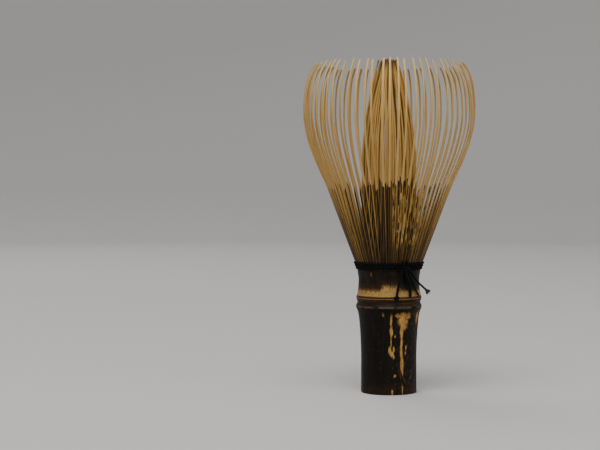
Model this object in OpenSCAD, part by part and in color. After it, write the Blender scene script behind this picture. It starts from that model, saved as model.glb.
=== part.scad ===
// Bamboo tea whisk cut from one length of black bamboo, standing on its handle.
// The culm is the handle. Above its rim the wall is split into sixteen segments, and each
// segment into outer and inner tines, which a black thread laced round the root keeps apart.
// The origin is the centre of the handle's foot, and +Z runs up through the tips.

/* [Handle] */
// Outer radius at the foot
foot_r = 9.95; // [9.6:0.05:10.1]
// Radius of the hollow in the foot
bore_r = 7.3; // [6.5:0.1:8]
// Depth of the straight part of that hollow
bore_depth = 27; // [22:0.5:28]
// Height of the rim that the tines grow from
rim_z = 44; // [43.6:0.1:44.4]
// Outer radius of the rim
rim_r = 11.3; // [11.2:0.05:11.4]
// Radius of the lower ridge of the node
lower_ridge_r = 11.8; // [11.5:0.05:12]
// Radius of the upper ridge of the node
upper_ridge_r = 11.7; // [11.4:0.05:12]

/* [Outer tines] */
// Height of the outer tips
outer_top = 118; // [116:0.5:119]
// Radius of the tines' skin at the rim
root_r = 11.15; // [11.1:0.05:11.3]
// Outward run of the straight lower stretch for each unit of height
flare = 0.3775; // [0.36:0.0025:0.39]
// Height where the skin is shaved away and the tines start to curl
knee_z = 74; // [70:0.5:76]
// Greatest radius of the whisk
belly_r = 31; // [29:0.25:32]
// Height of that greatest radius
belly_z = 101; // [98:0.5:103]
// Radius at the outer tips
tip_r = 26.5; // [24.5:0.25:28]
// Width of an outer tine
outer_w = 0.66; // [0.5:0.02:0.7]

/* [Inner tines] */
// Height of the inner tips, and so of the whisk
inner_top = 119.5; // [119:0.5:121]
// Radius of the bundle up to where it starts to close
bundle_r = 9.8; // [9.7:0.05:9.9]
// Radius at the inner tips
bundle_tip_r = 3.8; // [3.7:0.1:6]
// Width of an inner tine at its root
inner_w = 0.42; // [0.3:0.02:0.46]
// Width of an inner tine at its tip
inner_tip_w = 0.28; // [0.2:0.02:0.28]

/* [Thread] */
// Height of a round of thread, pulled flat against the tines
round_h = 0.9; // [0.8:0.02:0.92]
// Thickness of a round of thread
round_t = 0.5; // [0.4:0.02:0.5]
// Diameter of the thread inside the outer tines
inner_round_d = 0.7; // [0.5:0.05:0.7]
// Diameter of the loose tails
tail_d = 0.7; // [0.5:0.05:0.8]

/* [Hidden] */
SEGMENTS = 16;
PER_SEGMENT = 4;
segment_step = 360 / SEGMENTS;
tine_step = segment_step / PER_SEGMENT;
names = [for (k = [1:SEGMENTS]) str(k < 10 ? "0" : "", k)];
outer_names = [for (n = names) str("outer_tines_", n)];
inner_names = [for (n = names) str("inner_tines_", n)];
round_names = ["lacing_round_lower", "lacing_round_middle", "lacing_round_upper"];
inner_round_names = ["lacing_inside_lower", "lacing_inside_upper"];
tail_names = ["tail_knotted", "tail_thick", "tail_thin", "tail_brushed"];

smooth = 96;                 // facets of a full turn, where a viewer draws one
root_gap = 0.12;             // from the rim to the tines, so that they can bend freely
root_z = rim_z + root_gap;
lacing_top = rim_z + 3.1;    // the thread's seat on the tines ends here
seat_end = lacing_top + 0.4;
seat_depth = 0.2;
thread_gap = 0.13;           // between the seat and a round
flare_angle = atan(flare);
reach = 2 * belly_r;         // longer than any cut through a tine

skin = "#241a12";
split_bamboo = "#c9a25e";
inner_bamboo = "#b98c47";
thread = "#101312";

// A point on a cubic curve from a to d
function curve(a, b, c, d, t) =
    pow(1 - t, 3) * a + 3 * pow(1 - t, 2) * t * b + 3 * (1 - t) * pow(t, 2) * c + pow(t, 3) * d;

// The points of that curve after its first
function curve_points(a, b, c, d, steps) = [for (i = [1:steps]) curve(a, b, c, d, i / steps)];

// A smooth line through key points, with its first and last repeated as end guides
function spline_point(p, i, t) =
    let (a = p[max(i - 1, 0)], b = p[i], c = p[i + 1], d = p[min(i + 2, len(p) - 1)])
    curve(b, b + (c - a) / 6, c - (d - b) / 6, c, t);
function spline(p, steps) =
    concat([p[0]], [for (i = [0:len(p) - 2]) for (s = [1:steps]) spline_point(p, i, s / steps)]);

function backwards(p) = [for (i = [len(p) - 1:-1:0]) p[i]];

// The back of a tine: its face set in by the thickness at each point's height
function back_of(face, thickness) = [
    for (i = [0:len(face) - 1])
        let (run = face[min(i + 1, len(face) - 1)] - face[max(i - 1, 0)], unit = run / norm(run))
        face[i] + lookup(face[i][1], thickness) * [-unit[1], unit[0]]
];

// Skin side of an outer tine, as radius and height
knee_r = root_r + flare * (knee_z - rim_z);
function flare_r(z) = root_r + flare * (z - rim_z);
outer_face = concat(
    [[flare_r(root_z), root_z], [flare_r(seat_end), seat_end], [flare_r(60), 60], [knee_r, knee_z]],
    curve_points([knee_r, knee_z], [knee_r + 4.5, knee_z + 9], [belly_r, belly_z - 9],
        [belly_r, belly_z], 6),
    curve_points([belly_r, belly_z], [belly_r, belly_z + 9], [tip_r + 3.15, outer_top - 3.5],
        [tip_r, outer_top], 5)
);
outer_thickness = [[rim_z, 0.95], [60, 0.6], [knee_z, 0.42], [outer_top, 0.25]];
// The same line with the thread's seat cut into it
seated_face = concat(
    [[outer_face[0][0] - seat_depth, root_z], [flare_r(lacing_top) - seat_depth, lacing_top]],
    [for (i = [1:len(outer_face) - 1]) outer_face[i]]
);

// Skin side of an inner tine
inner_root_r = 9.75;
close_z = 80;                // the bundle closes above this height
inner_face = concat(
    [[inner_root_r, root_z], [inner_root_r, lacing_top], [bundle_r, 62], [bundle_r, close_z]],
    curve_points([bundle_r, close_z], [bundle_r + 0.3, close_z + 13],
        [bundle_tip_r + 3.4, inner_top - 11], [bundle_tip_r, inner_top], 8)
);
inner_thickness = [[rim_z, 0.6], [60, 0.42], [inner_top, 0.26]];

// Outside of the culm from foot to rim, with the two ridges of its node
foot_chamfer = 0.35;
culm_keys = [
    [foot_r, foot_chamfer], [foot_r, 14], [foot_r + 0.28, 21], [foot_r + 0.85, 27.5],
    [lower_ridge_r, 30.9], [11.35, 32.5], [upper_ridge_r, 34.3], [11.1, 36.8],
    [10.85, 40.6], [rim_r, rim_z]
];
septum_low = 29.8;           // under the wall that closes the culm at its node
septum_high = 32.6;
cup_r = 8.9;                 // hollow above the septum, at the rim

module culm() {
    color(skin)
    rotate_extrude($fn = smooth)
    polygon(concat(
        [[bore_r, foot_chamfer], [bore_r + foot_chamfer, 0], [foot_r - foot_chamfer, 0]],
        spline(culm_keys, 5),
        [[cup_r, rim_z], [cup_r, 39], [8.2, 35.5], [6.2, 33.2], [0, septum_high]],
        [[0, septum_low], [5.2, septum_low - 0.6], [bore_r, bore_depth]]
    ));
}

// One tine standing over +X: its side view cut to its front view
module tine(side, front) {
    intersection() {
        rotate([90, 0, 0])
        linear_extrude(height = 2, center = true)
        polygon(side);
        rotate([90, 0, 90])
        linear_extrude(height = reach)
        polygon(front);
    }
}

// Front view of a tine: straight edges that taper, then a rounded tip
function front_view(w_root, w_top, low, high, tip) = [
    [-w_root / 2, low - 1], [w_root / 2, low - 1], [w_top / 2, high - 2 * tip],
    [0.42 * w_top, high - 0.6 * tip], [0.2 * w_top, high + 0.01],
    [-0.2 * w_top, high + 0.01], [-0.42 * w_top, high - 0.6 * tip], [-w_top / 2, high - 2 * tip]
];

module outer_tines(segment) {
    color(split_bamboo)
    for (i = [0:PER_SEGMENT - 1])
        rotate([0, 0, segment * segment_step + (i - 1.5) * tine_step])
        tine(
            concat(seated_face, backwards(back_of(outer_face, outer_thickness))),
            front_view(outer_w - 0.04, outer_w, root_z, outer_top, 0.8)
        );
}

module inner_tines(segment) {
    color(inner_bamboo)
    for (i = [0:PER_SEGMENT - 1])
        rotate([0, 0, segment * segment_step + (i - 1) * tine_step])
        tine(
            concat(inner_face, backwards(back_of(inner_face, inner_thickness))),
            front_view(inner_w, inner_tip_w, root_z, inner_top, 0.5)
        );
}

// A round of thread outside the tines, flattened and leaning with their flare
round_pitch = 0.93;
module lacing_round(i) {
    low = rim_z + 0.2 + round_h / 2 + i * round_pitch;
    offset_r = (round_t / 2 + thread_gap) / cos(flare_angle) - seat_depth;
    end_r = round_t / 2;
    color(thread)
    rotate_extrude($fn = smooth)
    translate([flare_r(low) + offset_r, low])
    rotate([0, 0, -flare_angle])
    union() {
        square([round_t, round_h - round_t], center = true);
        translate([0, round_h / 2 - end_r]) circle(r = end_r, $fn = 24);
        translate([0, end_r - round_h / 2]) circle(r = end_r, $fn = 24);
    }
}

// A round of thread between the outer and the inner tines
inner_round_z = [rim_z + 1.45, rim_z + 2.55];
module lacing_inside(i) {
    z = inner_round_z[i];
    back_r = flare_r(z) - outer_thickness[0][1] / cos(flare_angle);
    color(thread)
    rotate_extrude($fn = smooth)
    translate([(inner_root_r + back_r) / 2, z])
    circle(d = inner_round_d, $fn = 24);
}

// The knot that ends the lacing, and the way it faces
knot_angle = -66;
knot_d = 1.7;
knot_z = 45;
knot_centre_r = flare_r(knot_z) + 1.5;
knot = [knot_centre_r * cos(knot_angle), knot_centre_r * sin(knot_angle), knot_z];
module lacing_knot() {
    color(thread)
    translate(knot)
    sphere(d = knot_d, $fn = 32);
}

// Loose ends below the knot, each a route from its top to its free end
tail_routes = [
    [[3.9, -12.35, 43.6], [3.4, -12.2, 42], [2.9, -12, 39.8], [2.5, -12, 37.6], [1.9, -12.9, 34.6]],
    [[5.1, -11.95, 43.6], [5.8, -11.3, 42], [6.5, -10.6, 40], [6.9, -10.2, 37.6], [7, -10.1, 35.2]],
    [[6.2, -11.4, 43.6], [7, -10.5, 42], [7.8, -9.4, 40.2], [8.6, -8.3, 38], [10, -7, 35.4]],
    [[7.2, -10.8, 43.6], [8, -9.9, 42.3], [9.2, -8.7, 40.6], [11.4, -7.6, 38.5], [12.9, -7, 37.1]]
];
tail_ends = [1.9, tail_d, tail_d, 1.4];     // width of the knotted, cut or brushed-out end

// Points of a ring of eight round a route's point, square to the route there
ring_sides = 8;
function route_ring(p, along, r) =
    let (side = cross(along, [0.12, 0.9, 0.42]), u = side / norm(side), v = cross(along, u))
    [for (k = [0:ring_sides - 1]) p + r * (cos(k * 45) * u + sin(k * 45) * v)];

// A thread swept along a route, as one closed solid
module thread_sweep(route, r) {
    last = len(route) - 1;
    rings = [
        for (i = [0:last])
            let (run = route[min(i + 1, last)] - route[max(i - 1, 0)])
            route_ring(route[i], run / norm(run), r)
    ];
    points = [for (ring = rings) each ring];
    walls = [
        for (i = [0:last - 1]) for (k = [0:ring_sides - 1])
            let (a = i * ring_sides, n = (k + 1) % ring_sides)
            [a + k, a + k + ring_sides, a + n + ring_sides, a + n]
    ];
    foot = [for (k = [0:ring_sides - 1]) k];
    head = [for (k = [ring_sides - 1:-1:0]) last * ring_sides + k];
    polyhedron(points, concat([foot], walls, [head]));
}

module tail(i) {
    route = tail_routes[i];
    free_end = route[len(route) - 1];
    color(thread)
    if (tail_ends[i] > tail_d) union() {
        thread_sweep(route, tail_d / 2);
        translate(free_end) sphere(d = tail_ends[i], $fn = 24);
    }
    else thread_sweep(route, tail_d / 2);
}

culm();
for (k = [0:SEGMENTS - 1]) {
    outer_tines(k);
    inner_tines(k);
}
for (i = [0:2]) {
    lacing_round(i);
}
for (i = [0:1]) {
    lacing_inside(i);
}
lacing_knot();
for (i = [0:3]) {
    tail(i);
}
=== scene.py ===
import math
import random
from bisect import bisect_left
from collections import namedtuple

import bmesh
import bpy
from bpy.props import FloatProperty, FloatVectorProperty, IntProperty, PointerProperty
from mathutils import Matrix, Vector, noise
from mathutils.geometry import interpolate_bezier


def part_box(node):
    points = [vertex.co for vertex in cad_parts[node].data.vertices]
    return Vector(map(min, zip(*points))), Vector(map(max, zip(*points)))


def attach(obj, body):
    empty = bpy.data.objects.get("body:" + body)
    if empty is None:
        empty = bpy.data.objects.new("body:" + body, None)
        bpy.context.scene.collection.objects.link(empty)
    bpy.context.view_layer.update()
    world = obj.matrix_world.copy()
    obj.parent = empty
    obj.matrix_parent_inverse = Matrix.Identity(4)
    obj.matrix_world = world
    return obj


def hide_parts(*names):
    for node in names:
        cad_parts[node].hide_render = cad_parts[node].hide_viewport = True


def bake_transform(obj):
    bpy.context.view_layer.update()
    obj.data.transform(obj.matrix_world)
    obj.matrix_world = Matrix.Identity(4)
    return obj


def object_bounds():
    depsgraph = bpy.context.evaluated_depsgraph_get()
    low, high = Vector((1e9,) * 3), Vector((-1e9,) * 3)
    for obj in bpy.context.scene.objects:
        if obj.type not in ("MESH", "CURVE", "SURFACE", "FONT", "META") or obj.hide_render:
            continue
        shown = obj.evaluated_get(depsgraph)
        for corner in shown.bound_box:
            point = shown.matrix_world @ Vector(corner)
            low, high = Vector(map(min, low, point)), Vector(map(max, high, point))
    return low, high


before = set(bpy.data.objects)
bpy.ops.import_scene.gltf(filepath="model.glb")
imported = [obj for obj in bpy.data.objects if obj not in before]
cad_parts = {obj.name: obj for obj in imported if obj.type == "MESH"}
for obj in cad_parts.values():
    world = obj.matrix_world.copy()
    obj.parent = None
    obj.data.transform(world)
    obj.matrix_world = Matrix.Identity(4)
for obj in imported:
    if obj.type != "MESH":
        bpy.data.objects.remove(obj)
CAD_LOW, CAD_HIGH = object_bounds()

bl_info = {
    "name": "Black bamboo tea whisk",
    "version": (1, 0, 0),
    "blender": (4, 5, 0),
    "location": "View3D > Sidebar > Tea whisk",
    "description": "Builds a tea whisk of split black bamboo on its packed frame",
    "category": "Add Mesh",
}

MM = 0.001
SEGMENTS = 16                 # the culm is split into this many before the fine splitting
PER_SEGMENT = 4               # outer tines, and as many inner ones, to a segment
SEGMENT_STEP = math.tau / SEGMENTS
TINE_STEP = SEGMENT_STEP / PER_SEGMENT
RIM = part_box("culm")[1].z
OUTER_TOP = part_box("outer_tines_01")[1].z
BELLY = CAD_HIGH.x
INNER_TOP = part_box("inner_tines_01")[1].z
UP = Vector((0, 0, 1))
FRONT = -math.pi / 2          # the angle round +Z of the side that faces -Y
ROOT_RADIUS = 11.15 * MM      # the outer tines' skin at the rim
FLARE = 0.3775                # how far they run outwards for each unit of height


# ---- settings

def length(name, description, default):
    """A size setting in metres."""
    return FloatProperty(
        name=name, description=description, default=default, precision=5,
        subtype="DISTANCE", unit="LENGTH",
    )


def colour(name, description, default):
    """A colour setting, as linear red, green and blue."""
    return FloatVectorProperty(
        name=name, description=description, default=default, size=3, subtype="COLOR",
        min=0, max=1,
    )


class WhiskSizes(bpy.types.PropertyGroup):
    """Sizes of the bamboo and the thread."""
    foot_radius: length("Foot radius", "Outside of the handle at its foot", 9.95 * MM)
    bore_radius: length("Bore radius", "Hollow in the handle", 7.3 * MM)
    outer_root: length("Outer root width", "Width of an outer tine at the lacing", 0.9 * MM)
    outer_tip: length("Outer tip width", "Width of an outer tine at its tip", 0.72 * MM)
    inner_root: length("Inner root width", "Width of an inner tine at the lacing", 0.88 * MM)
    inner_tip: length("Inner tip width", "Width of an inner tine at its tip", 0.50 * MM)
    tip_radius: length("Tip circle", "Radius at the outer tips", 26.5 * MM)
    bundle_radius: length("Bundle radius", "Radius of the inner bundle", 9.8 * MM)
    skin_end: length("Skin end", "Height where the outer tines' black skin ends", 73.6 * MM)
    inner_skin_end: length("Inner skin end", "The same height on the inner tines", 75.6 * MM)
    thread_round: length("Round height", "Height of one round of the lacing", 0.92 * MM)
    ply_radius: length("Ply radius", "Radius of one ply of the thread", 0.19 * MM)
    seed: IntProperty(
        name="Seed", description="Sets how the tines stray from even spacing", default=11,
    )


class WhiskColours(bpy.types.PropertyGroup):
    """Colours of the bamboo and the thread."""
    skin: colour("Skin", "Black bamboo skin", (0.0030, 0.0020, 0.0011))
    skin_brown: colour("Brown skin", "Browner streaks in the skin", (0.012, 0.0065, 0.0030))
    bare: colour("Bare bamboo", "Cream patches where the skin stayed pale", (0.40, 0.225, 0.055))
    straw: colour("Straw", "Shaved face of the outer tines", (0.50, 0.32, 0.115))
    gold: colour("Gold", "Split sides of the tines", (0.38, 0.205, 0.032))
    inner_straw: colour("Inner straw", "Shaved face of the inner tines", (0.40, 0.225, 0.05))
    # Painted shade: the inner tines' tips browner, as if in shadow
    tip: colour("Tip", "Browner inner tips", (0.075, 0.033, 0.007))
    thread: colour("Thread", "Black cotton", (0.0018, 0.0022, 0.0021))


class StudioSettings(bpy.types.PropertyGroup):
    """The camera and the light."""
    camera_distance: length("Camera distance", "From the whisk's axis", 0.55)
    camera_side: length("Camera offset", "From the view's centre to the whisk's axis", 31.9 * MM)
    camera_aim: length("Aim height", "Height of the view's centre", 60 * MM)
    camera_rise: FloatProperty(
        name="Camera rise", description="Angle of the view above the horizon",
        default=math.radians(1.5), subtype="ANGLE", unit="ROTATION",
    )
    lens: FloatProperty(name="Lens", description="Focal length", default=92, unit="CAMERA")
    key_power: FloatProperty(
        name="Key light", description="Power of the main lamp", default=21, unit="POWER",
    )
    floor: colour("Floor", "Pale studio floor", (0.50, 0.49, 0.475))
    wall: colour("Wall", "Where the floor sweeps up into a wall", (0.66, 0.65, 0.63))


# ---- materials

class Value:
    """A number that varies over a surface. Its operators add Math nodes."""

    def __init__(self, paint, socket):
        self.paint = paint
        self.socket = socket

    def __add__(self, other):
        return self.paint.math("ADD", self, other)

    __radd__ = __add__

    def __sub__(self, other):
        return self.paint.math("SUBTRACT", self, other)

    def __rsub__(self, other):
        return self.paint.math("SUBTRACT", other, self)

    def __mul__(self, other):
        return self.paint.math("MULTIPLY", self, other)

    __rmul__ = __mul__

    def __truediv__(self, other):
        return self.paint.math("DIVIDE", self, other)

    def __neg__(self):
        return self.paint.math("MULTIPLY", self, -1)

    def above(self, edge, blur):
        """0 below the edge and 1 above it, changing over the blur."""
        return self.paint.ramp(self - edge, -blur, blur)

    def below(self, edge, blur):
        """1 below the edge and 0 above it."""
        return 1 - self.above(edge, blur)


class Paint:
    """One material, and the nodes that it is mixed from."""

    def __init__(self, name):
        self.material = bpy.data.materials.new(name)
        self.material.use_nodes = True
        self.tree = self.material.node_tree
        self.tree.nodes.clear()
        self.shader = self.tree.nodes.new("ShaderNodeBsdfPrincipled")
        output = self.tree.nodes.new("ShaderNodeOutputMaterial")
        self.tree.links.new(self.shader.outputs["BSDF"], output.inputs["Surface"])

    def put(self, socket, value):
        """Links a Value to the socket, or sets the socket to a plain number or colour."""
        if isinstance(value, Value):
            self.tree.links.new(value.socket, socket)
        elif hasattr(value, "__len__") and len(value) == 3 and socket.type == "RGBA":
            socket.default_value = (*value, 1)
        else:
            socket.default_value = value

    def node(self, kind, settings=None, inputs=None, output=0):
        """A node of that kind: its settings first, then its sockets. Gives one output."""
        made = self.tree.nodes.new(kind)
        for key, value in (settings or {}).items():
            setattr(made, key, value)
        for key, value in (inputs or {}).items():
            self.put(made.inputs[key], value)
        return Value(self, made.outputs[output])

    def math(self, operation, *values):
        return self.node("ShaderNodeMath", {"operation": operation}, dict(enumerate(values)))

    def attribute(self, name):
        return self.node("ShaderNodeAttribute", {"attribute_name": name}, output="Fac")

    def place(self):
        """The place on the object in millimetres, as three Values."""
        place = self.node("ShaderNodeTexCoord", output="Object")
        parts = self.tree.nodes.new("ShaderNodeSeparateXYZ")
        self.put(parts.inputs[0], place)
        return [Value(self, socket) * 1000 for socket in parts.outputs]

    def vector(self, x, y, z):
        return self.node("ShaderNodeCombineXYZ", inputs={0: x, 1: y, 2: z})

    def noise(self, vector, detail=2.0, roughness=0.5):
        """Smooth noise round 0.5, one bump to a unit of the vector."""
        return self.node(
            "ShaderNodeTexNoise", {"noise_dimensions": "3D"},
            {"Vector": vector, "Scale": 1.0, "Detail": detail, "Roughness": roughness},
        )

    def grain(self, place, across, along, detail=2.0, roughness=0.5):
        """Noise at a place, with so many bumps to a millimetre across the grain and along it."""
        x, y, z = place
        return self.noise(self.vector(x * across, y * across, z * along), detail, roughness)

    def dots(self, vector):
        """Distance to the nearest of scattered points, one to a unit of the vector."""
        return self.node(
            "ShaderNodeTexVoronoi", {"feature": "F1"}, {"Vector": vector, "Scale": 1.0},
            output="Distance",
        )

    def ramp(self, value, low, high):
        """0 at low and 1 at high, eased at both ends."""
        return self.node(
            "ShaderNodeMapRange", {"interpolation_type": "SMOOTHSTEP"},
            {"Value": value, "From Min": low, "From Max": high},
        )

    def mix(self, a, b, factor):
        """Colour a where the factor is 0 and b where it is 1."""
        return self.node(
            "ShaderNodeMix", {"data_type": "RGBA"}, {0: factor, 6: a, 7: b}, output=2,
        )

    def layers(self, base, *tints):
        """The base colour with each tint mixed over it in turn, by its own factor."""
        for tint, factor in tints:
            base = self.mix(base, tint, factor)
        return base

    def finish(self, base, rough, height=None, bump_mm=0.05, **constants):
        """Joins the colour, the roughness and a relief to the shader, and sets its constants."""
        self.put(self.shader.inputs["Base Color"], base)
        self.put(self.shader.inputs["Roughness"], rough)
        for name, value in constants.items():
            self.put(self.shader.inputs[name.replace("_", " ")], value)
        if height is not None:
            relief = {"Height": height, "Strength": 1.0, "Distance": bump_mm * MM}
            self.put(self.shader.inputs["Normal"], self.node("ShaderNodeBump", inputs=relief))
        return self.material


# Pale bare places on the handle's skin, each an ellipse: place round the handle from the
# front, height, half width and half height, all in millimetres
BARE_PLACES = (
    (2.6, 28.3, 1.1, 0.8), (4.5, 27.9, 1.5, 1.4), (6.3, 28.0, 1.1, 1.1), (4.4, 26.3, 1.9, 1.9),
    (4.6, 24.6, 1.2, 1.7), (4.0, 22.2, 0.6, 2.6), (4.0, 18.0, 0.4, 3.3), (4.0, 14.8, 0.5, 2.0),
    (4.3, 11.0, 0.65, 3.1), (4.6, 8.2, 0.3, 1.4), (4.4, 1.8, 0.22, 2.2), (0.2, 26.6, 0.28, 2.3),
    (0.3, 22.4, 0.5, 2.2), (0.3, 18.9, 0.25, 2.0), (-0.2, 15.9, 0.6, 1.5), (0.5, 14.6, 0.8, 1.1),
    (1.2, 16.2, 0.35, 1.1), (1.2, 13.6, 0.4, 0.6), (1.55, 21.0, 0.25, 0.55),
    (5.9, 16.6, 0.22, 0.8), (5.8, 14.9, 0.25, 0.8), (1.4, 6.8, 0.25, 0.55), (1.9, 6.9, 0.2, 0.4),
    (0.6, 1.0, 0.3, 1.1), (-2.4, 28.5, 0.3, 0.7), (11.2, 27.3, 0.9, 2.3), (-21.3, 26.6, 1.2, 1.1),
    (-20.7, 24.6, 0.6, 2.4), (-20.9, 20.6, 0.28, 2.8), (-19.7, 13.4, 0.55, 1.6),
    (-19.5, 10.0, 0.25, 2.8), (-22.5, 19.6, 0.2, 0.9), (24.5, 27.2, 1.3, 1.1),
    (24.1, 25.0, 0.8, 1.9), (24.5, 20.6, 0.32, 3.4), (23.7, 16.4, 0.6, 1.3),
    (24.0, 12.8, 0.25, 2.6), (22.4, 23.6, 0.25, 1.0), (-6.6, 42.6, 0.13, 0.8),
)
SKIN_UNIT = 10.0              # radius in millimetres at which those places are laid out

# Tints of the handle's skin, with a painted highlight on the node's lower ridge, as linear red,
# green and blue
FIBRE_BROWN = (0.022, 0.011, 0.0045)
FOOT_BROWN = (0.028, 0.013, 0.0055)
NECK_BROWN = (0.028, 0.014, 0.0065)
SMOKE_BROWN = (0.05, 0.025, 0.009)
FLECK_BROWN = (0.075, 0.040, 0.016)
NODE_BLACK = (0.012, 0.0055, 0.003)
NODE_BROWN = (0.055, 0.027, 0.012)
# Painted highlight: a pale grey line on the node's lower ridge
RIDGE_HIGHLIGHT = (0.10, 0.075, 0.052)
NODE_LINE = (0.25, 0.125, 0.03)
AMBER = (0.27, 0.115, 0.016)
PALE_FIBRE = (0.50, 0.34, 0.13)
TAN_STREAK = (0.22, 0.11, 0.022)
RUST = (0.13, 0.05, 0.012)
MOTTLE = (0.19, 0.08, 0.012)
RING_CREAM = (0.29, 0.18, 0.062)
RING_DOT = (0.06, 0.026, 0.008)
BARE_EDGE = (0.10, 0.042, 0.010)

# Tints of the cut foot and of the hollow's lining
PITH, PITH_TAN, PITH_BUNDLE = (0.46, 0.29, 0.11), (0.34, 0.19, 0.06), (0.08, 0.036, 0.012)
LINING, LINING_STAIN, LINING_FIBRE = (0.42, 0.25, 0.09), (0.25, 0.125, 0.035), (0.55, 0.38, 0.17)

# Tints of the tines: the skin low down and where it is rubbed, the shaved face with painted light
# at the outer tips, the split sides with painted shade low down
SKIN_FIBRE = (0.036, 0.018, 0.007)
RUBBED = (0.46, 0.30, 0.10)
RUBBED_FIBRE = (0.16, 0.075, 0.018)
BARED = (0.42, 0.245, 0.045)
STRAW_FIBRE = (0.62, 0.44, 0.20)
STRAW_DULL = (0.27, 0.135, 0.025)
# Painted light: paler straw on the outer tips, as if lit from above
PAINTED_TIP_LIGHT = (0.62, 0.44, 0.17)
SPLIT_FIBRE = (0.12, 0.052, 0.009)
# Painted shade on the split sides: low down between the tines, and darkest near the root
SPLIT_SHADE = (0.06, 0.027, 0.006)
ROOT_SHADE = (0.035, 0.016, 0.005)

# Dust on the thread, and a painted grey highlight on the fibres of its brushed end
COTTON_DUST = (0.008, 0.0095, 0.009)
BRUSHED_HIGHLIGHT = (0.11, 0.12, 0.105)


def skin_material(colours):
    """Black bamboo skin with its cream ring over the node, its drip-like bare places and a painted
    highlight along the node's lower ridge.
    """
    p = Paint("black_bamboo_skin")
    place = x, y, z = p.place()
    around = p.math("ARCTAN2", x, -y) * SKIN_UNIT
    wander = p.grain(place, 0.9, 0.35, 4.0, 0.65) - 0.5
    ragged = p.grain(place, 2.6, 0.9, 4.0, 0.7) - 0.5
    streak = p.grain(place, 1.5, 0.06, 4.0, 0.6)
    fibre = p.grain(place, 9, 0.25, 3.0, 0.6)
    cloud = p.grain(place, 0.35, 0.12, 3.0)

    bare = None
    for at, height, half_w, half_h in BARE_PLACES:
        away_x = (around + wander * 1.3 + ragged * 0.5 - at) / half_w
        away_z = (z + ragged * 2.2 - height) / half_h
        reach = p.math("SQRT", away_x * away_x + away_z * away_z)
        inside = reach.below(1.0, 0.25)
        bare = inside if bare is None else p.math("MAXIMUM", bare, inside)
    speck = p.grain(place, 2.4, 1.1).above(0.725, 0.02) * z.below(30, 1)
    bare = p.math("MAXIMUM", bare, speck * 0.6)

    hump_at = around + wander * 2.5
    hump = hump_at.above(-2.9, 0.7) * hump_at.below(2.6, 1.1) * 1.5
    fringe = p.grain(place, 4.5, 0.3, 2.0, 0.6) - 0.5
    ring_top = z + wander * 1.6 + ragged * 2.0 + fringe * 3.4 - hump
    ring = ring_top.below(37.1, 0.5) * z.above(34.85 + ragged * 0.4, 0.14)
    smoke = (z - hump + wander * 3).below(38.6, 1.4) * z.above(36, 0.5)
    bare = p.math("MAXIMUM", bare, ring)
    line = z + wander * 0.35
    tan_line = line.above(33.95, 0.07) * line.below(34.22, 0.07) * (wander + 0.5).above(0.40, 0.08)
    node_band = z.above(31.4, 0.3) * z.below(34.9, 0.3)
    node_rings = p.grain(place, 0.1, 3.2, 3.0, 0.6).above(0.54, 0.08)
    # Painted highlight along the node's lower ridge, in patches
    highlight_line = z + wander * 0.7
    ridge_highlight = highlight_line.above(30.75, 0.16) * highlight_line.below(31.35, 0.2)
    flecks = p.noise(p.vector(x * 1.1, y * 1.1, z * 0.55 + 9), 4.0, 0.7).above(0.58, 0.04)
    flecks = flecks * around.above(3.0, 2.5) * around.below(12, 3) * z.below(29.5, 1)

    shaded = around.above(2.5, 2.5) * around.below(10, 2)
    neck = cloud.above(0.55, 0.1) * z.above(36, 1) * (1 - shaded * 0.8)
    mottle = (ragged + wander * 0.5).above(0.02, 0.06) * z.above(26.2, 0.8) * (1 - ring)
    dots = p.dots(p.vector(x * 1.25 + ragged * 1.5, y * 1.25 + fringe * 1.5, z * 0.9 + ragged))
    dots = dots.below(0.27 + wander * 0.5, 0.1)
    rim_of_bare = bare.above(0.5, 0.5) * bare.below(0.97, 0.03)

    base = p.layers(
        colours.skin,
        (colours.skin_brown, streak.above(0.58, 0.14) * 0.55),
        (FIBRE_BROWN, fibre.above(0.66, 0.07) * 0.35),
        (FOOT_BROWN, z.below(3.2, 2.6) * cloud.above(0.47, 0.1) * 0.6),
        (NECK_BROWN, neck * 0.45),
        (SMOKE_BROWN, smoke * (0.25 + streak * 0.4)),
        (FLECK_BROWN, flecks * 0.75),
        (NODE_BLACK, node_band * 0.8),
        (NODE_BROWN, node_band * node_rings * 0.7),
        (RIDGE_HIGHLIGHT, ridge_highlight * cloud.above(0.44, 0.1) * 0.7),
        (NODE_LINE, tan_line * 0.9),
    )
    cream = p.layers(
        colours.bare,
        (AMBER, (wander + ragged * 0.7).above(0.03, 0.12)),
        (PALE_FIBRE, fibre.above(0.55, 0.1) * 0.5),
        (TAN_STREAK, streak.above(0.58, 0.08) * 0.5),
        (RUST, (ragged + fibre * 0.5).above(0.47, 0.06) * 0.7),
        (MOTTLE, mottle * 0.75),
        (RING_CREAM, ring * 0.6),
        (RING_DOT, dots * z.above(35.7, 0.5) * ring * 0.8),
        (BARE_EDGE, rim_of_bare * 0.7),
    )
    rough = 0.42 + streak * 0.2 + bare * 0.1 + fibre * 0.06
    relief = fibre * 0.5 + streak * 0.8 + bare * 0.15
    return p.finish(
        p.mix(base, cream, bare), rough, relief, 0.07,
        Specular_IOR_Level=0.12, Coat_Weight=0.02, Coat_Roughness=0.35,
    )


def end_grain_material(colours):
    """The cut foot: pale pith dotted with darker bundles that crowd towards the skin."""
    p = Paint("bamboo_end_grain")
    x, y, z = p.place()
    radius = p.math("SQRT", x * x + y * y)
    crowd = p.dots(p.vector(x * 2.8, y * 2.8, 0.0))
    bundle = crowd.below(0.17 + radius.above(8.7, 0.8) * 0.2, 0.05)
    rings = p.noise(p.vector(x * 0.6, y * 0.6, z), 3.0)
    base = p.layers(
        PITH, (PITH_TAN, rings.above(0.5, 0.2)), (PITH_BUNDLE, bundle * 0.85),
        (colours.skin_brown, radius.above(9.75, 0.12)),
    )
    return p.finish(base, 0.75, crowd, 0.06)


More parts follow.
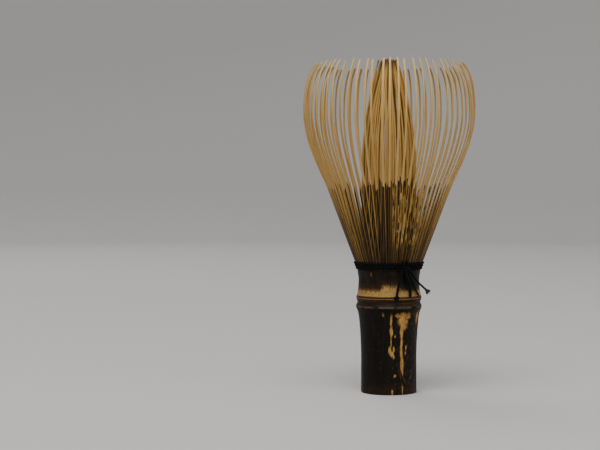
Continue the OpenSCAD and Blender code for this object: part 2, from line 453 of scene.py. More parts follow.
def hollow_material():
    """The inside of the culm: a thin papery lining over pale pith."""
    p = Paint("bamboo_lining")
    place = p.place()
    fibre = p.grain(place, 3, 0.15, 4.0, 0.6)
    stain = p.grain(place, 0.5, 0.2, 3.0).above(0.5, 0.18)
    base = p.layers(LINING, (LINING_STAIN, stain), (LINING_FIBRE, fibre.above(0.55, 0.12) * 0.6))
    return p.finish(base, 0.8, fibre, 0.08)


def grain_of(p, across, tone):
    """How a tine's grain runs: height in millimetres, its own slice, fibres and streaks."""
    height = p.attribute("height") * 1000
    own = tone * 97
    fibre = p.noise(p.vector(across * 3.2, own, height * 0.16), 3.0, 0.6)
    streak = p.noise(p.vector(across * 0.8, own, height * 0.045), 3.0, 0.55)
    return height, own, fibre, streak


def tine_face_material(name, colours, straw, skin_end, tip_darkening):
    """A tine's outer face: black skin low down, with golden breaks, and shaved above, with painted
    light at the outer tips and painted shade at the inner tips.
    """
    p = Paint(name)
    across, tone, turn = (p.attribute(key) for key in ("across", "tone", "turn"))
    height, own, fibre, streak = grain_of(p, across, tone)
    slant = across * (tone - 0.5) * 2.6
    ragged = p.noise(p.vector(across * 1.4, own, height * 0.5), 3.0, 0.6) - 0.5
    skin_top = skin_end / MM + (tone - 0.5) * 2.2 + p.math("SINE", turn) * tip_darkening * 1.8
    black = (height + slant + ragged * 1.8).below(skin_top, 0.18)

    window = turn.above(0.06, 0.05) * turn.below(0.68, 0.12)
    window = window * height.above(53.0, 3.0) * height.below(73.0, 2.0)
    break_noise = p.noise(p.vector(turn * 15 + tone * 0.7, across * 0.3, height * 0.22), 4.0, 0.65)
    rich = turn.above(0.36, 0.15) * height.above(62, 4) * 0.05
    breaks = (break_noise + (fibre - 0.5) * 0.12 + rich).above(0.52, 0.03) * window
    stray = p.noise(p.vector(turn * 12, 3.0, height * 0.12), 3.0, 0.6).above(0.69, 0.03)
    worn = p.math("MAXIMUM", breaks, stray * height.above(50, 3)) * 0.95

    bright = tone.above(0.55, 0.2)
    edge = p.math("ABSOLUTE", across).above(0.84, 0.08)
    strip = across.above(0.9 - bright * 0.55 + (fibre - 0.5) * 0.5, 0.1) * (0.1 + bright * 0.8)
    bared = p.math("MAXIMUM", strip, edge * 0.2) * (0.2 + height.above(57, 8) * 0.8)
    rubbed = p.layers(
        colours.gold, (RUBBED, 0.3 + bright * 0.5), (RUBBED_FIBRE, fibre.above(0.56, 0.1) * 0.6),
    )
    skin = p.layers(
        colours.skin,
        (colours.skin_brown, streak.above(0.52, 0.12)),
        (SKIN_FIBRE, fibre.above(0.52, 0.1) * 0.8),
        (rubbed, worn),
        (BARED, bared),
    )
    shaved = p.layers(
        straw,
        (colours.gold, streak.above(0.55, 0.14) * 0.45),
        (STRAW_FIBRE, fibre.above(0.56, 0.1) * 0.5),
        (STRAW_DULL, tone.below(0.22, 0.15) * 0.4),
        (colours.gold, edge * height.below(108, 6) * 0.6),
        # Painted light: the outer tips paler
        (PAINTED_TIP_LIGHT, height.above(104, 8) * (1 - tip_darkening) * 0.7),
        # Painted shade at the inner tips: golder, then brown at the very top
        (colours.gold, height.above(105, 9) * tip_darkening * 0.6),
        (colours.tip, height.above(116.5, 2.5) * tip_darkening * 1.3),
    )
    return p.finish(
        p.mix(shaved, skin, black), 0.52 + fibre * 0.18 - black * 0.1, fibre + streak, 0.03,
        Specular_IOR_Level=0.16, Coat_Weight=0.02,
    )


def tine_side_material(name, colours, straw, tip_darkening):
    """A tine's split sides and back: golden fibres, with painted shade low down between the tines
    and at the inner tips.
    """
    p = Paint(name)
    height, own, fibre, streak = grain_of(p, p.attribute("across"), p.attribute("tone"))
    # Painted shade: darker low down where the tines crowd, on a share of the tines, darkest at the
    # root
    low = height.below(64, 14)
    shade_pick = (own * 3.7 - p.math("FLOOR", own * 3.7)).above(0.55, 0.15)
    base = p.layers(
        straw,
        (colours.gold, 0.3 + low * 0.5 + streak.above(0.5, 0.15) * 0.2),
        (SPLIT_FIBRE, fibre.above(0.58, 0.08) * (0.35 + low * 0.4)),
        (SPLIT_SHADE, low * shade_pick * 0.75),
        (ROOT_SHADE, height.below(48.5, 3) * 0.4),
        # Painted shade at the inner tips
        (colours.tip, height.above(116.5, 2.5) * tip_darkening * 1.3),
    )
    return p.finish(
        base, 0.6 + fibre * 0.2, fibre + streak * 0.6, 0.04, Specular_IOR_Level=0.25,
    )


def thread_material(name, colours, dust_and_highlight, dusty):
    """Black cotton: matt, with a paler tint where the fibres stand up: dust, and on the brushed
    end a painted highlight.
    """
    p = Paint(name)
    fluff = p.grain(p.place(), 7, 7, 4.0, 0.65)
    base = p.mix(colours.thread, dust_and_highlight, fluff.above(dusty, 0.1) * 0.6)
    return p.finish(
        base, 0.86 + fluff * 0.1, fluff, 0.06, Specular_IOR_Level=0.12,
        Sheen_Weight=0.03, Sheen_Roughness=0.5,
    )


def floor_material(studio):
    """Pale matt studio floor."""
    p = Paint("studio_floor")
    x, y, _ = p.place()
    out = p.math("SQRT", x * x + y * y).above(1000, 900)
    return p.finish(p.mix(studio.floor, studio.wall, out), 0.9)


# ---- shapes

def plane_point(radius_mm, height_mm):
    """A point of an outline: radius and height."""
    return Vector((radius_mm * MM, height_mm * MM, 0))


class Line:
    """A smooth line. A tine's lies in a plane: x is the radius and y the height."""

    def __init__(self, stretches, steps=24):
        self.points = [stretches[0][0]]
        for stretch in stretches:
            self.points += interpolate_bezier(*stretch, steps)[1:]
        self.reached = [0.0]
        for a, b in zip(self.points, self.points[1:]):
            self.reached.append(self.reached[-1] + (b - a).length)
        self.length = self.reached[-1]

    def at(self, distance):
        """The point at that distance along the line, and the direction there."""
        i = min(max(bisect_left(self.reached, distance), 1), len(self.points) - 1)
        a, b = self.points[i - 1], self.points[i]
        share = (distance - self.reached[i - 1]) / (self.reached[i] - self.reached[i - 1])
        before = self.points[max(i - 2, 0)]
        after = self.points[min(i + 1, len(self.points) - 1)]
        run = (b - before).lerp(after - a, share)
        return a.lerp(b, share), run.normalized()


def through(keys):
    """Curve stretches that pass smoothly through the key points."""
    stretches = []
    for i in range(len(keys) - 1):
        a, b = keys[i], keys[i + 1]
        before, after = keys[max(i - 1, 0)], keys[min(i + 2, len(keys) - 1)]
        stretches.append((a, a + (b - before) / 6, b - (after - a) / 6, b))
    return stretches


def spun(outline, steps, merge):
    """A bmesh of the outline spun round the whisk's axis, with its seam and poles closed."""
    bm = bmesh.new()
    ring = [bm.verts.new((point.x, 0, point.y)) for point in outline]
    edges = [bm.edges.new(pair) for pair in zip(ring, ring[1:])]
    bmesh.ops.spin(
        bm, geom=ring + edges, cent=(0, 0, 0), axis=(0, 0, 1), angle=math.tau, steps=steps,
        use_merge=True,
    )
    bmesh.ops.remove_doubles(bm, verts=bm.verts, dist=merge)
    bmesh.ops.recalc_face_normals(bm, faces=bm.faces)
    return bm


def add_object(name, mesh, materials, body, slot, *nodes):
    """Makes a finished piece of a mesh: it rides on the body and stands for those nodes."""
    piece = bpy.data.objects.new(name, mesh)
    bpy.context.collection.objects.link(piece)
    for material in materials:
        mesh.materials.append(material)
    if body:
        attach(piece, body)
    if nodes:
        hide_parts(*nodes)
    return piece


def mesh_from(bm, name, sharp=math.radians(42)):
    """A smooth-shaded mesh of the bmesh, with sharp edges where it turns by more than sharp."""
    for face in bm.faces:
        face.smooth = True
    for edge in bm.edges:
        if len(edge.link_faces) == 2:
            edge.smooth = edge.calc_face_angle(0) < sharp
    mesh = bpy.data.meshes.new(name)
    bm.to_mesh(mesh)
    bm.free()
    return mesh


def eased(value, low, high):
    """0 at low and 1 at high, eased at both ends."""
    share = min(max((value - low) / (high - low), 0), 1)
    return share * share * (3 - 2 * share)


def between(value, pairs):
    """A straight-line reading of a short list of (place, value) pairs."""
    for (a, at_a), (b, at_b) in zip(pairs, pairs[1:]):
        if value <= b:
            return at_a + (at_b - at_a) * min(max((value - a) / (b - a), 0), 1)
    return pairs[-1][1]


# ---- culm

def build_culm(sizes, colours):
    """The handle: one outline spun round the axis, then made a little uneven."""
    foot, bore, chamfer = sizes.foot_radius / MM, sizes.bore_radius / MM, 0.35
    outside = Line(through([plane_point(*key) for key in (
        (foot, chamfer), (foot, 7), (foot, 14), (foot + 0.28, 21), (foot + 0.85, 27.5),
        (11.35, 29.6), (11.8, 30.75), (11.72, 31.4), (11.38, 32.1), (11.36, 32.8),
        (11.66, 33.7), (11.68, 34.4), (11.35, 35.4), (11.05, 37.2), (10.85, 40.6),
        (11.2, 43.2), (11.3, RIM / MM),
    )]), 5)
    inside_up = [plane_point(*key) for key in (
        (8.9, RIM / MM), (8.9, 39), (8.6, 36.6), (7.7, 34.4), (5.6, 33.0), (3, 32.7), (0, 32.6),
    )]
    inside_low = [plane_point(*key) for key in (
        (0, 29.8), (3, 29.7), (5.2, 29.2), (6.6, 28.3), (bore, 27), (bore, 14),
        (bore, chamfer), (bore + chamfer * 0.6, 0.06), (bore + 0.7, 0), (foot - 0.6, 0),
        (foot - chamfer * 0.5, 0.07),
    )]
    bm = spun(inside_low + outside.points + inside_up, 160, 1e-6)
    wall = (foot - 1.0) * MM
    for vert in bm.verts:
        x, y, z = vert.co
        radius = math.hypot(x, y)
        if radius > wall and z > 0.2 * MM:
            node = eased(z, 29 * MM, 31 * MM) * (1 - eased(z, 35 * MM, 37 * MM))
            wide = noise.noise(Vector((x * 90, y * 90, z * 25)))
            fine = noise.noise(Vector((x * 420, y * 420, z * 130 + 7)))
            swell = (0.05 * wide + 0.05 * node * fine) * MM
            vert.co.xy *= (radius + swell) / radius
            vert.co.z += 0.12 * MM * node * noise.noise(Vector((x * 160, y * 160, 3)))
    for face in bm.faces:
        middle = face.calc_center_median()
        radius = math.hypot(middle.x, middle.y)
        if face.normal.z < -0.6 and middle.z < 0.3 * MM:
            face.material_index = 1
        elif radius < wall or face.normal.z > 0.9:
            face.material_index = 2
    materials = [skin_material(colours), end_grain_material(colours), hollow_material()]
    mesh = mesh_from(bm, "culm_of_black_bamboo")
    add_object("culm_of_black_bamboo", mesh, materials, "culm", "black_bamboo", "culm")


# ---- tines

STATIONS = 40                 # cuts along a tine, the last few close together at its tip
TIP_CUTS = 5


def tine_blank():
    """A stick with rounded edges from 0 to 1 up Z, one unit wide and deep, skin towards -Y."""
    bm = bmesh.new()
    bmesh.ops.create_cube(bm, size=1, matrix=Matrix.Translation((0, 0, 0.5)))

    def upright():
        return [e for e in bm.edges if abs(e.verts[0].co.z - e.verts[1].co.z) > 0.5]

    bmesh.ops.bevel(
        bm, geom=upright(), offset=0.2, segments=2, profile=0.5, affect="EDGES", material=-1,
    )
    bmesh.ops.subdivide_edges(bm, edges=upright(), cuts=STATIONS - 1, use_grid_fill=True)
    for face in bm.faces:
        face.material_index = 0 if face.normal.y < -0.6 else 1
    return mesh_from(bm, "tine_blank")


def station_share(i, tip_share):
    """How far along the tine cut number i is, with the last cuts inside the rounded tip."""
    body_cuts = STATIONS - TIP_CUTS
    if i <= body_cuts:
        return (1 - tip_share) * i / body_cuts
    left = 1 - (i - body_cuts) / TIP_CUTS
    return 1 - tip_share * left * left


class Tine:
    """One tine's own shape: where it stands, how it strays and how it is cut."""

    def __init__(self, turn, width, tone, lean=0.0, push=0.0, twist=0.0, bow=0.0, trim=0.0,
                 step=0.0, gather=None, gather_from=0.6, tuck=0.0):
        self.turn, self.width, self.tone = turn, width, tone
        self.lean, self.push, self.twist, self.bow, self.trim = lean, push, twist, bow, trim
        self.step, self.gather, self.gather_from, self.tuck = step, gather, gather_from, tuck

    def place(self, across, depth, distance, cut):
        """The place of a point given across the tine, into it and along it."""
        point, run = cut.line.at(distance)
        end = cut.line.length - self.trim
        share = distance / cut.line.length
        near_tip = max(0.0, 1 - (end - distance) / cut.tip_length)
        rounding = (1 - min(near_tip, 1) ** 3 * 0.93) ** 0.5
        half_turn = self.twist * share ** 1.5
        thick = between(point.y, cut.thickness)
        w = across * self.width * between(point.y, cut.width) * rounding
        w *= 1 - depth * thick / point.x
        d = depth * thick * (0.6 + 0.4 * rounding)
        side = w * math.cos(half_turn) - (d - thick / 2) * math.sin(half_turn)
        deep = w * math.sin(half_turn) + (d - thick / 2) * math.cos(half_turn) + thick / 2
        gathered = eased(share, self.gather_from, 1.0)
        stray = self.push * share ** 2 - self.step * eased(share, 0.06, 0.3)
        stray -= self.tuck * gathered
        side += self.bow * math.sin(math.pi * share) * share
        radius = point.x - run.y * deep + stray
        height = point.y + run.x * deep
        turn = self.turn + self.lean * share ** 1.5
        if self.gather:
            centre, offset = self.gather
            turn = turn + (centre - turn) * gathered
            side += offset * gathered
        x = math.cos(turn) * radius - math.sin(turn) * side
        y = math.sin(turn) * radius + math.cos(turn) * side
        return Vector((x, y, height))


# What all tines of a row share: the line they follow, and their section along it
Cut = namedtuple("Cut", "line width thickness tip_length")


def build_tines(name, tines, cut, blank):
    """A group of tines as one mesh, each bent from the blank, with its grain's attributes."""
    bm = bmesh.new()
    layers = {key: bm.verts.layers.float.new(key) for key in ("height", "across", "tone", "turn")}
    for tine in tines:
        first = len(bm.verts)
        bm.from_mesh(blank)
        bm.verts.ensure_lookup_table()
        end = cut.line.length - tine.trim
        for vert in bm.verts[first:]:
            across, depth, up = vert.co.x, vert.co.y + 0.5, vert.co.z
            distance = end * station_share(round(up * STATIONS), cut.tip_length / end)
            vert.co = tine.place(across, depth, distance, cut)
            vert[layers["height"]] = vert.co.z
            vert[layers["across"]] = across * 2
            vert[layers["tone"]] = tine.tone
            vert[layers["turn"]] = math.remainder(tine.turn - FRONT, math.tau)
    return mesh_from(bm, name)


def outer_line(sizes):
    """Skin side of an outer tine: a straight flare, then a long curl in to the tip."""
    top, belly, tip = OUTER_TOP / MM, BELLY / MM, sizes.tip_radius / MM
    knee_r, knee_z, belly_z = 22.45, 74, 101
    root, knee = plane_point(11.1, RIM / MM), plane_point(knee_r, knee_z)
    return Line([
        (root, root.lerp(knee, 1 / 3), root.lerp(knee, 2 / 3), knee),
        (knee, plane_point(knee_r + 9 * FLARE * 1.3, knee_z + 9),
         plane_point(belly, belly_z - 9), plane_point(belly, belly_z)),
        (plane_point(belly, belly_z), plane_point(belly, belly_z + 9),
         plane_point(tip + 3.15, top - 3.5), plane_point(tip, top)),
    ], 32)


def inner_line(sizes):
    """Skin side of an inner tine: nearly upright, then leaning in to the closed tips."""
    top, bundle, tip = INNER_TOP / MM, sizes.bundle_radius / MM, 3.05
    root, close = plane_point(9.9, RIM / MM), plane_point(bundle, 80)
    return Line([
        (root, root.lerp(close, 1 / 3), root.lerp(close, 2 / 3), close),
        (close, plane_point(bundle + 0.3, 93), plane_point(tip + 3.9, top - 10),
         plane_point(tip, top)),
    ], 32)


OUTER_THICKNESS = [
    (RIM, 0.95 * MM), (60 * MM, 0.62 * MM), (74 * MM, 0.44 * MM), (OUTER_TOP, 0.27 * MM),
]
INNER_THICKNESS = [(RIM, 0.62 * MM), (60 * MM, 0.5 * MM), (INNER_TOP, 0.32 * MM)]


def build_row(row, cut, materials, shift, make_tine):
    """Sixteen groups of four tines, each one piece that runs up from the culm."""
    blank = tine_blank()
    for segment in range(SEGMENTS):
        centre = segment * SEGMENT_STEP + shift
        tines = [make_tine(centre, i, i - (PER_SEGMENT - 1) / 2) for i in range(PER_SEGMENT)]
        node = f"{row}_tines_{segment + 1:02d}"
        mesh = build_tines(f"shaved_{node}", tines, cut, blank)
        piece = add_object(f"shaved_{node}", mesh, materials, None, f"{row}_bamboo", node)
        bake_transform(piece)


def build_outer_tines(sizes, colours):
    """The outer row: each tine strays a little from even spacing."""
    rng = random.Random(sizes.seed)
    root, tip = sizes.outer_root, sizes.outer_tip
    width = [(RIM, root), (62 * MM, root * 0.97), (84 * MM, root * 0.9), (OUTER_TOP, tip)]
    cut = Cut(outer_line(sizes), width, OUTER_THICKNESS, 0.6 * MM)
    materials = [
        tine_face_material("outer_tine_face", colours, colours.straw, sizes.skin_end, 0.0),
        tine_side_material("outer_tine_side", colours, colours.straw, 0.0),
    ]

    def outer_tine(centre, _, place):
        if abs(place) < 1:
            lean = rng.uniform(-0.9, 0.9)
        else:
            lean = -rng.uniform(-0.15, 1.3) * place / 1.5
        return Tine(
            turn=centre + place * TINE_STEP,
            width=rng.uniform(0.88, 1.04),
            tone=rng.random(),
            lean=math.radians(lean),
            push=rng.uniform(-0.75, 0) * MM,
            twist=math.radians(rng.uniform(-16, 16)),
            bow=rng.uniform(-0.12, 0.12) * MM,
            trim=rng.choice((0, 0.2, 0.4, 0.9)) * MM,
        )

    build_row("outer", cut, materials, 0.0, outer_tine)


def build_inner_tines(sizes, colours):
    """The inner row: it closes into a loose point, two tines deep."""
    rng = random.Random(sizes.seed + 1)
    root, tip = sizes.inner_root, sizes.inner_tip
    width = [(RIM, root), (78 * MM, root * 0.95), (90 * MM, root * 0.8), (INNER_TOP, tip)]
    cut = Cut(inner_line(sizes), width, INNER_THICKNESS, 0.6 * MM)
    straw = colours.inner_straw
    # The last argument, 0.75, gives the inner tips their painted shade and slants the end of their
    # skin
    materials = [
        tine_face_material("inner_tine_face", colours, straw, sizes.inner_skin_end, 0.75),
        tine_side_material("inner_tine_side", colours, straw, 0.75),
    ]

    def inner_tine(centre, i, place):
        deeper = i % 2
        return Tine(
            turn=centre + place * TINE_STEP,
            width=rng.uniform(0.8, 1.04),
            tone=rng.random(),
            lean=math.radians(rng.uniform(-1.6, 1.6)),
            push=(rng.uniform(-0.6, 0.15) + (rng.random() > 0.88) * 0.9) * MM,
            twist=math.radians(rng.uniform(-20, 20)),
            bow=rng.uniform(-0.35, 0.35) * MM,
            trim=rng.uniform(0, 1.6) * MM,
            step=0.35 * deeper * MM,
            gather=(centre, math.copysign(0.30, place) * MM),
            gather_from=0.62,
            tuck=(0.55 * deeper + rng.uniform(0, 0.25)) * MM,
        )

    build_row("inner", cut, materials, TINE_STEP / 2, inner_tine)


# ---- thread

PLIES = 3
TWIST_PITCH = 1.5 * MM        # length of thread in one turn of its twist


def tube_mesh(name, paths, radius, closed=False, sides=1):
    """One mesh of round tubes along the paths, each with its own closed surface."""
    curve = bpy.data.curves.new(name, "CURVE")
    curve.dimensions = "3D"
    curve.bevel_depth = radius
    curve.bevel_resolution = sides
    curve.use_fill_caps = not closed
    for path in paths:
        spline = curve.splines.new("POLY")
        spline.points.add(len(path) - 1)
        for point, place in zip(spline.points, path):
            point.co = (*place, 1)
        spline.use_cyclic_u = closed
    holder = bpy.data.objects.new(name, curve)
    bpy.context.collection.objects.link(holder)
    bpy.context.view_layer.update()
    depsgraph = bpy.context.evaluated_depsgraph_get()
    mesh = bpy.data.meshes.new_from_object(holder.evaluated_get(depsgraph))
    bpy.data.objects.remove(holder)
    bpy.data.curves.remove(curve)
    bm = bmesh.new()
    bm.from_mesh(mesh)
    bmesh.ops.remove_doubles(bm, verts=bm.verts, dist=1e-7)
    bmesh.ops.recalc_face_normals(bm, faces=bm.faces)
    bpy.data.meshes.remove(mesh)
    return mesh_from(bm, name, sharp=math.radians(80))


def thread_piece(name, paths, radius, finish, *nodes, **shape):
    """A finished piece of thread, as tubes along the paths."""
    mesh = tube_mesh(name, paths, radius, **shape)
    add_object(name, mesh, [finish], "culm", "black_thread", *nodes)


def twisted(centre_line, wide, tall, phase=0.0):
    """The plies of a thread whose middle is given as (point, outward, sideways) triples."""
    reached = 0.0
    plies = [[] for _ in range(PLIES)]
    previous = centre_line[0][0]
    for point, outward, sideways in centre_line:
        reached += (point - previous).length
        previous = point
        for k, ply in enumerate(plies):
            angle = math.tau * (reached / TWIST_PITCH + k / PLIES) + phase
            ply.append(
                point + outward * wide * math.cos(angle) + sideways * tall * math.sin(angle)
            )
    return plies


def round_line(radius, height, lean, bulge, steps):
    """A closed round of thread: it bulges over each outer tine and sinks between them."""
    line = []
    for i in range(steps):
        turn = math.tau * i / steps
        wave = math.cos(turn * SEGMENTS * PER_SEGMENT + math.pi)
        r = radius + bulge * wave
        radial = Vector((math.cos(turn), math.sin(turn), 0))
        outward = radial * math.cos(lean) - Vector((0, 0, math.sin(lean)))
        sideways = radial * math.sin(lean) + Vector((0, 0, math.cos(lean)))
        drift = noise.noise(Vector((math.cos(turn) * 2, math.sin(turn) * 2, height * 900)))
        line.append((radial * r + Vector((0, 0, height + 0.06 * MM * drift)), outward, sideways))
    return line


def route_line(points, steps):
    """An open thread's middle: a smooth route through the points."""
    route = Line(through(points), steps).points
    line = []
    for i, point in enumerate(route):
        run = (route[min(i + 1, len(route) - 1)] - route[max(i - 1, 0)]).normalized()
        outward = run.cross(Vector((0.12, 0.9, 0.42))).normalized()
        line.append((point, outward, run.cross(outward)))
    return line


def tine_face_radius(height):
    """Radius of the outer tines' skin near the root."""
    return ROOT_RADIUS + (height - RIM) * FLARE


# A loop between two tines: out from their skin and up from its middle, in millimetres
LOOP_ROUTE = ((0.22, -0.25), (0.30, 0.1), (-0.2, 0.3), (-1.0, 0.2))


def build_lacing(sizes, colours):
    """Three rounds of thread outside the tines, two between the rows, and the loops through."""
    cotton = thread_material("black_cotton", colours, COTTON_DUST, 0.57)
    pitch = 0.93 * MM
    first = RIM + 0.2 * MM + sizes.thread_round / 2
    tall = sizes.thread_round / 2 - sizes.ply_radius
    lean = math.atan(FLARE)
    for i, node in enumerate(("lacing_round_lower", "lacing_round_middle", "lacing_round_upper")):
        height = first + i * pitch
        line = round_line(tine_face_radius(height) + 0.16 * MM, height, lean, 0.09 * MM, 1280)
        plies = [close_twist(ply) for ply in twisted(line, 0.10 * MM, tall, i * 1.3)]
        thread_piece(f"cotton_{node}", plies, sizes.ply_radius, cotton, node, closed=True)
    for node in ("lacing_inside_lower", "lacing_inside_upper"):
        low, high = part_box(node)
        line = round_line(high.x - 0.35 * MM, (low.z + high.z) / 2, 0.0, 0.0, 960)
        plies = [close_twist(ply) for ply in twisted(line, 0.16 * MM, 0.16 * MM)]
        thread_piece(f"cotton_{node}", plies, sizes.ply_radius * 0.9, cotton, node, closed=True)
    loops = []
    for i in range(SEGMENTS * PER_SEGMENT):
        turn = i * TINE_STEP
        radial = Vector((math.cos(turn), math.sin(turn), 0))
        for height in (RIM + 0.75 * MM, RIM + 2.65 * MM):
            face = tine_face_radius(height)
            loops.append([
                radial * (face + out * MM) + UP * (height + rise * MM)
                for out, rise in LOOP_ROUTE
            ])
    thread_piece("cotton_through_loops", loops, 0.17 * MM, cotton)
    return cotton


def close_twist(ply):
    """Slides a closed ply's points a little so that its twist meets itself."""
    gap = ply[0] - ply[-1]
    count = 24
    start = len(ply) - count
    return [
        point + gap * (eased(i, start, len(ply)) * 0.5) if i >= start else point
        for i, point in enumerate(ply)
    ]


# A binding turn over the rounds: out from the tines' skin in millimetres, the share of its
# place to the side, and up from the rim in millimetres
BINDING_ROUTE = (
    (-0.55, 1, -0.25), (0.25, 0.9, 0.1), (0.75, 0.7, 1.5), (1.15, 0.8, 2.9), (0.55, 1, 3.5),
    (-0.6, 1, 3.4),
)

# The loose tails: node, radius and route down from the knot, in millimetres
TAILS = (
    ("tail_knotted", 0.50, (
        (3.9, -12.35, 43.9), (3.4, -12.2, 42), (2.9, -12, 39.8), (2.5, -12, 37.6),
        (2.0, -12.7, 35.2),
    )),
    ("tail_thick", 0.58, (
        (5.1, -11.95, 43.9), (5.8, -11.3, 42), (6.5, -10.6, 40), (6.9, -10.2, 37.6),
        (7, -10.1, 35.2),
    )),
    ("tail_thin", 0.38, (
        (6.2, -11.4, 43.9), (7, -10.5, 42), (7.8, -9.4, 40.2), (8.6, -8.3, 38), (10, -7, 35.4),
    )),
    ("tail_brushed", 0.40, (
        (5.9, -11.75, 44.5), (7.2, -10.8, 43.6), (8, -9.9, 42.3), (9.2, -8.7, 40.6),
        (11.4, -7.6, 38.5), (12.9, -7, 37.1),
    )),
)


def knot_line(centre, size, steps=90):
    """The middle of a small tight knot, one thread round itself three times."""
    points = []
    for i in range(steps):
        t = math.tau * i / steps
        x = math.sin(t) + 2 * math.sin(2 * t)
        y = math.cos(t) - 2 * math.cos(2 * t)
        z = -math.sin(3 * t)
        points.append(centre + Vector((x * 0.33, z * 0.4, y * 0.33)) * size)
    line = []
    for i, point in enumerate(points):
        run = (points[(i + 1) % steps] - points[i - 1]).normalized()
        outward = run.cross(Vector((0.1, 1, 0.2))).normalized()
        line.append((point, outward, run.cross(outward)))
    return line


def frayed(rng, end, run, count, length_mm, spread):
    """Fine fibres that fan out of a cut end."""
    hairs = []
    side = run.cross(Vector((0, 1, 0))).normalized()
    other = run.cross(side)
    for _ in range(count):
        turn, out = rng.uniform(0, math.tau), math.sqrt(rng.random())
        away = (side * math.cos(turn) + other * math.sin(turn)) * out
        start = end + away * 0.2 * MM
        reach = length_mm * MM * rng.uniform(0.8, 1.05)
        middle = start + run * reach * 0.5 + away * spread * 0.35 * MM
        hairs.append([start, middle, start + run * reach + away * spread * MM])
    return hairs


def build_knot(sizes, colours, cotton):
    """The knot over the lacing, two turns that bind it, and the four loose tails."""
    rng = random.Random(sizes.seed + 2)
    low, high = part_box("lacing_knot")
    centre = (low + high) / 2
    radial = Vector((centre.x, centre.y, 0)).normalized()
    side = Vector((-radial.y, radial.x, 0))
    # The brushed end's paler tint is a painted highlight
    brushed = thread_material("brushed_cotton_highlight", colours, BRUSHED_HIGHLIGHT, 0.50)
    line = knot_line(centre - radial * 0.1 * MM - UP * 0.3 * MM, 1.15 * MM)
    plies = twisted(line, 0.15 * MM, 0.15 * MM)
    thread_piece("cotton_knot", plies, 0.18 * MM, cotton, "lacing_knot", closed=True)
    binds = []
    face = tine_face_radius(RIM + 1.6 * MM)
    for shift in (-1.1, 0.9):
        route = [
            radial * (face + out * MM) + side * shift * aside * MM + UP * (RIM + rise * MM)
            for out, aside, rise in BINDING_ROUTE
        ]
        binds += twisted(route_line(route, 12), 0.15 * MM, 0.15 * MM, shift)
    thread_piece("cotton_binding_turns", binds, 0.17 * MM, cotton)
    for node, radius, route in TAILS:
        points = [Vector(point) * MM for point in route]
        end, run = points[-1], (points[-1] - points[-2]).normalized()
        plies = twisted(route_line(points, 14), radius * 0.46 * MM, radius * 0.46 * MM, radius)
        thread_piece(f"cotton_{node}", plies, radius * 0.54 * MM, cotton, node)
        if node == "tail_knotted":
            plies = twisted(knot_line(end - UP * 0.8 * MM, 0.9 * MM), 0.1 * MM, 0.1 * MM)
            thread_piece("cotton_tail_knot", plies, 0.15 * MM, cotton, closed=True)
        if node == "tail_brushed":
            hairs = frayed(rng, end - run * 0.9 * MM, run, 110, 2.2, 0.92)
            finish = brushed
        else:
            hairs = frayed(rng, end - run * 0.2 * MM, run, 12, 0.7, 0.25)
            finish = cotton
        thread_piece(f"cotton_{node}_fray", hairs, 0.05 * MM, finish, sides=0)


# ---- stage

def aim(thing, target):
    """Turns a lamp or the camera to face the target."""
    thing.rotation_euler = (target - thing.location).to_track_quat("-Z", "Y").to_euler()


def add_lamp(name, place, size, power, tint):
    """A square soft lamp that faces the whisk."""
    light = bpy.data.lights.new(name, "AREA")
    light.shape = "SQUARE"
    light.size = size
    light.energy = power
    light.color = tint
    lamp = bpy.data.objects.new(name, light)
    bpy.context.collection.objects.link(lamp)
    lamp.location = place
    aim(lamp, Vector((0, 0, 0.06)))


def build_stage(studio):
    """A pale round floor that sweeps up into a wall, the lamps and the camera."""
    outline = Line(through([Vector(p) for p in (
        (0, 0, 0), (1.2, 0, 0), (1.7, 0.02, 0), (2.1, 0.2, 0), (2.4, 0.7, 0),
        (2.5, 1.6, 0), (2.5, 2.6, 0),
    )]), 8)
    bm = spun(outline.points, 96, 1e-5)
    if next(f for f in bm.faces if f.calc_center_median().z < 0.001).normal.z < 0:
        bmesh.ops.reverse_faces(bm, faces=bm.faces)
    mesh = mesh_from(bm, "studio_floor")
    add_object("studio_floor", mesh, [floor_material(studio)], None, None)

    add_lamp("key_lamp", (-0.2, -0.7, 1.3), 0.9, studio.key_power, (1.0, 0.98, 0.95))
    add_lamp("fill_lamp", (0.9, -1.0, 0.6), 1.1, studio.key_power * 0.22, (0.95, 0.97, 1.0))
    add_lamp("back_lamp", (-0.5, 0.9, 1.2), 1.0, studio.key_power * 0.35, (1.0, 1.0, 1.0))
    world = bpy.data.worlds.new("studio_air")
    world.use_nodes = True
    air = world.node_tree.nodes["Background"].inputs
    air["Color"].default_value = (0.93, 0.95, 1.0, 1)
    air["Strength"].default_value = 0.32
    bpy.context.scene.world = world

    lens = bpy.data.cameras.new("camera")
    lens.lens = studio.lens
    lens.sensor_width = 36
    lens.clip_start, lens.clip_end = 0.01, 20
    camera = bpy.data.objects.new("camera", lens)
    bpy.context.collection.objects.link(camera)
    target = Vector((-studio.camera_side, 0, studio.camera_aim))
    rise = studio.camera_rise
    away = Vector((0, -math.cos(rise), math.sin(rise))) * studio.camera_distance
    camera.location = target + away
    aim(camera, target)
    bpy.context.scene.camera = camera


# ---- operators

class WHISK_OT_culm(bpy.types.Operator):
    """Makes the handle of black bamboo"""
    bl_idname = "whisk.culm"
    bl_label = "Handle"

    def execute(self, context):
        build_culm(context.scene.whisk_sizes, context.scene.whisk_colours)
        return {"FINISHED"}


class WHISK_OT_outer_tines(bpy.types.Operator):
    """Makes the sixteen groups of outer tines"""
    bl_idname = "whisk.outer_tines"
    bl_label = "Outer tines"

    def execute(self, context):
        build_outer_tines(context.scene.whisk_sizes, context.scene.whisk_colours)
        return {"FINISHED"}


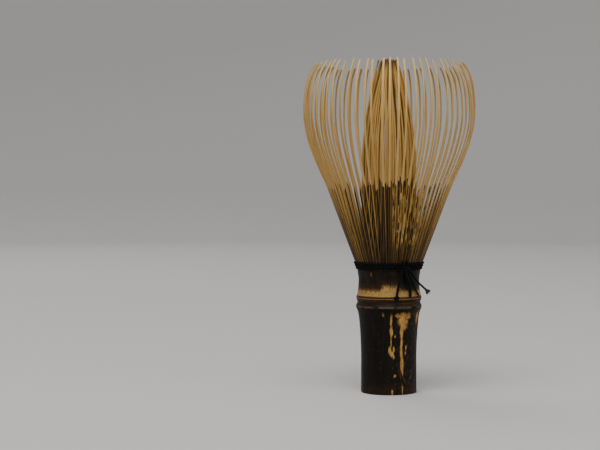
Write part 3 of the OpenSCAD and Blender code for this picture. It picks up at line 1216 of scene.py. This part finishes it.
class WHISK_OT_inner_tines(bpy.types.Operator):
    """Makes the sixteen groups of inner tines"""
    bl_idname = "whisk.inner_tines"
    bl_label = "Inner tines"

    def execute(self, context):
        build_inner_tines(context.scene.whisk_sizes, context.scene.whisk_colours)
        return {"FINISHED"}


class WHISK_OT_lacing(bpy.types.Operator):
    """Makes the thread's rounds, its knot and its tails"""
    bl_idname = "whisk.lacing"
    bl_label = "Lacing and knot"

    def execute(self, context):
        cotton = build_lacing(context.scene.whisk_sizes, context.scene.whisk_colours)
        build_knot(context.scene.whisk_sizes, context.scene.whisk_colours, cotton)
        return {"FINISHED"}


class WHISK_OT_stage(bpy.types.Operator):
    """Makes the floor, the lamps and the camera"""
    bl_idname = "whisk.stage"
    bl_label = "Studio"

    def execute(self, context):
        build_stage(context.scene.whisk_studio)
        return {"FINISHED"}


class WHISK_PT_panel(bpy.types.Panel):
    """Lists the whisk's settings and the steps that build it"""
    bl_idname = "WHISK_PT_panel"
    bl_label = "Tea whisk"
    bl_space_type = "VIEW_3D"
    bl_region_type = "UI"
    bl_category = "Tea whisk"

    def draw(self, context):
        layout = self.layout
        for group in ("whisk_sizes", "whisk_colours", "whisk_studio"):
            settings = getattr(context.scene, group)
            box = layout.box()
            for name in settings.__annotations__:
                box.prop(settings, name)
        for step in STEPS:
            layout.operator(step.bl_idname)


STEPS = (
    WHISK_OT_stage, WHISK_OT_culm, WHISK_OT_outer_tines, WHISK_OT_inner_tines, WHISK_OT_lacing,
)
GROUPS = {
    "whisk_sizes": WhiskSizes, "whisk_colours": WhiskColours, "whisk_studio": StudioSettings,
}


def register():
    for cls in (*GROUPS.values(), *STEPS, WHISK_PT_panel):
        bpy.utils.register_class(cls)
    for name, group in GROUPS.items():
        setattr(bpy.types.Scene, name, PointerProperty(type=group))


def unregister():
    for name in GROUPS:
        delattr(bpy.types.Scene, name)
    for cls in reversed((*GROUPS.values(), *STEPS, WHISK_PT_panel)):
        bpy.utils.unregister_class(cls)


def main():
    register()
    bpy.ops.whisk.stage()
    bpy.ops.whisk.culm()
    bpy.ops.whisk.outer_tines()
    bpy.ops.whisk.inner_tines()
    bpy.ops.whisk.lacing()


if __name__ == "__main__":
    main()
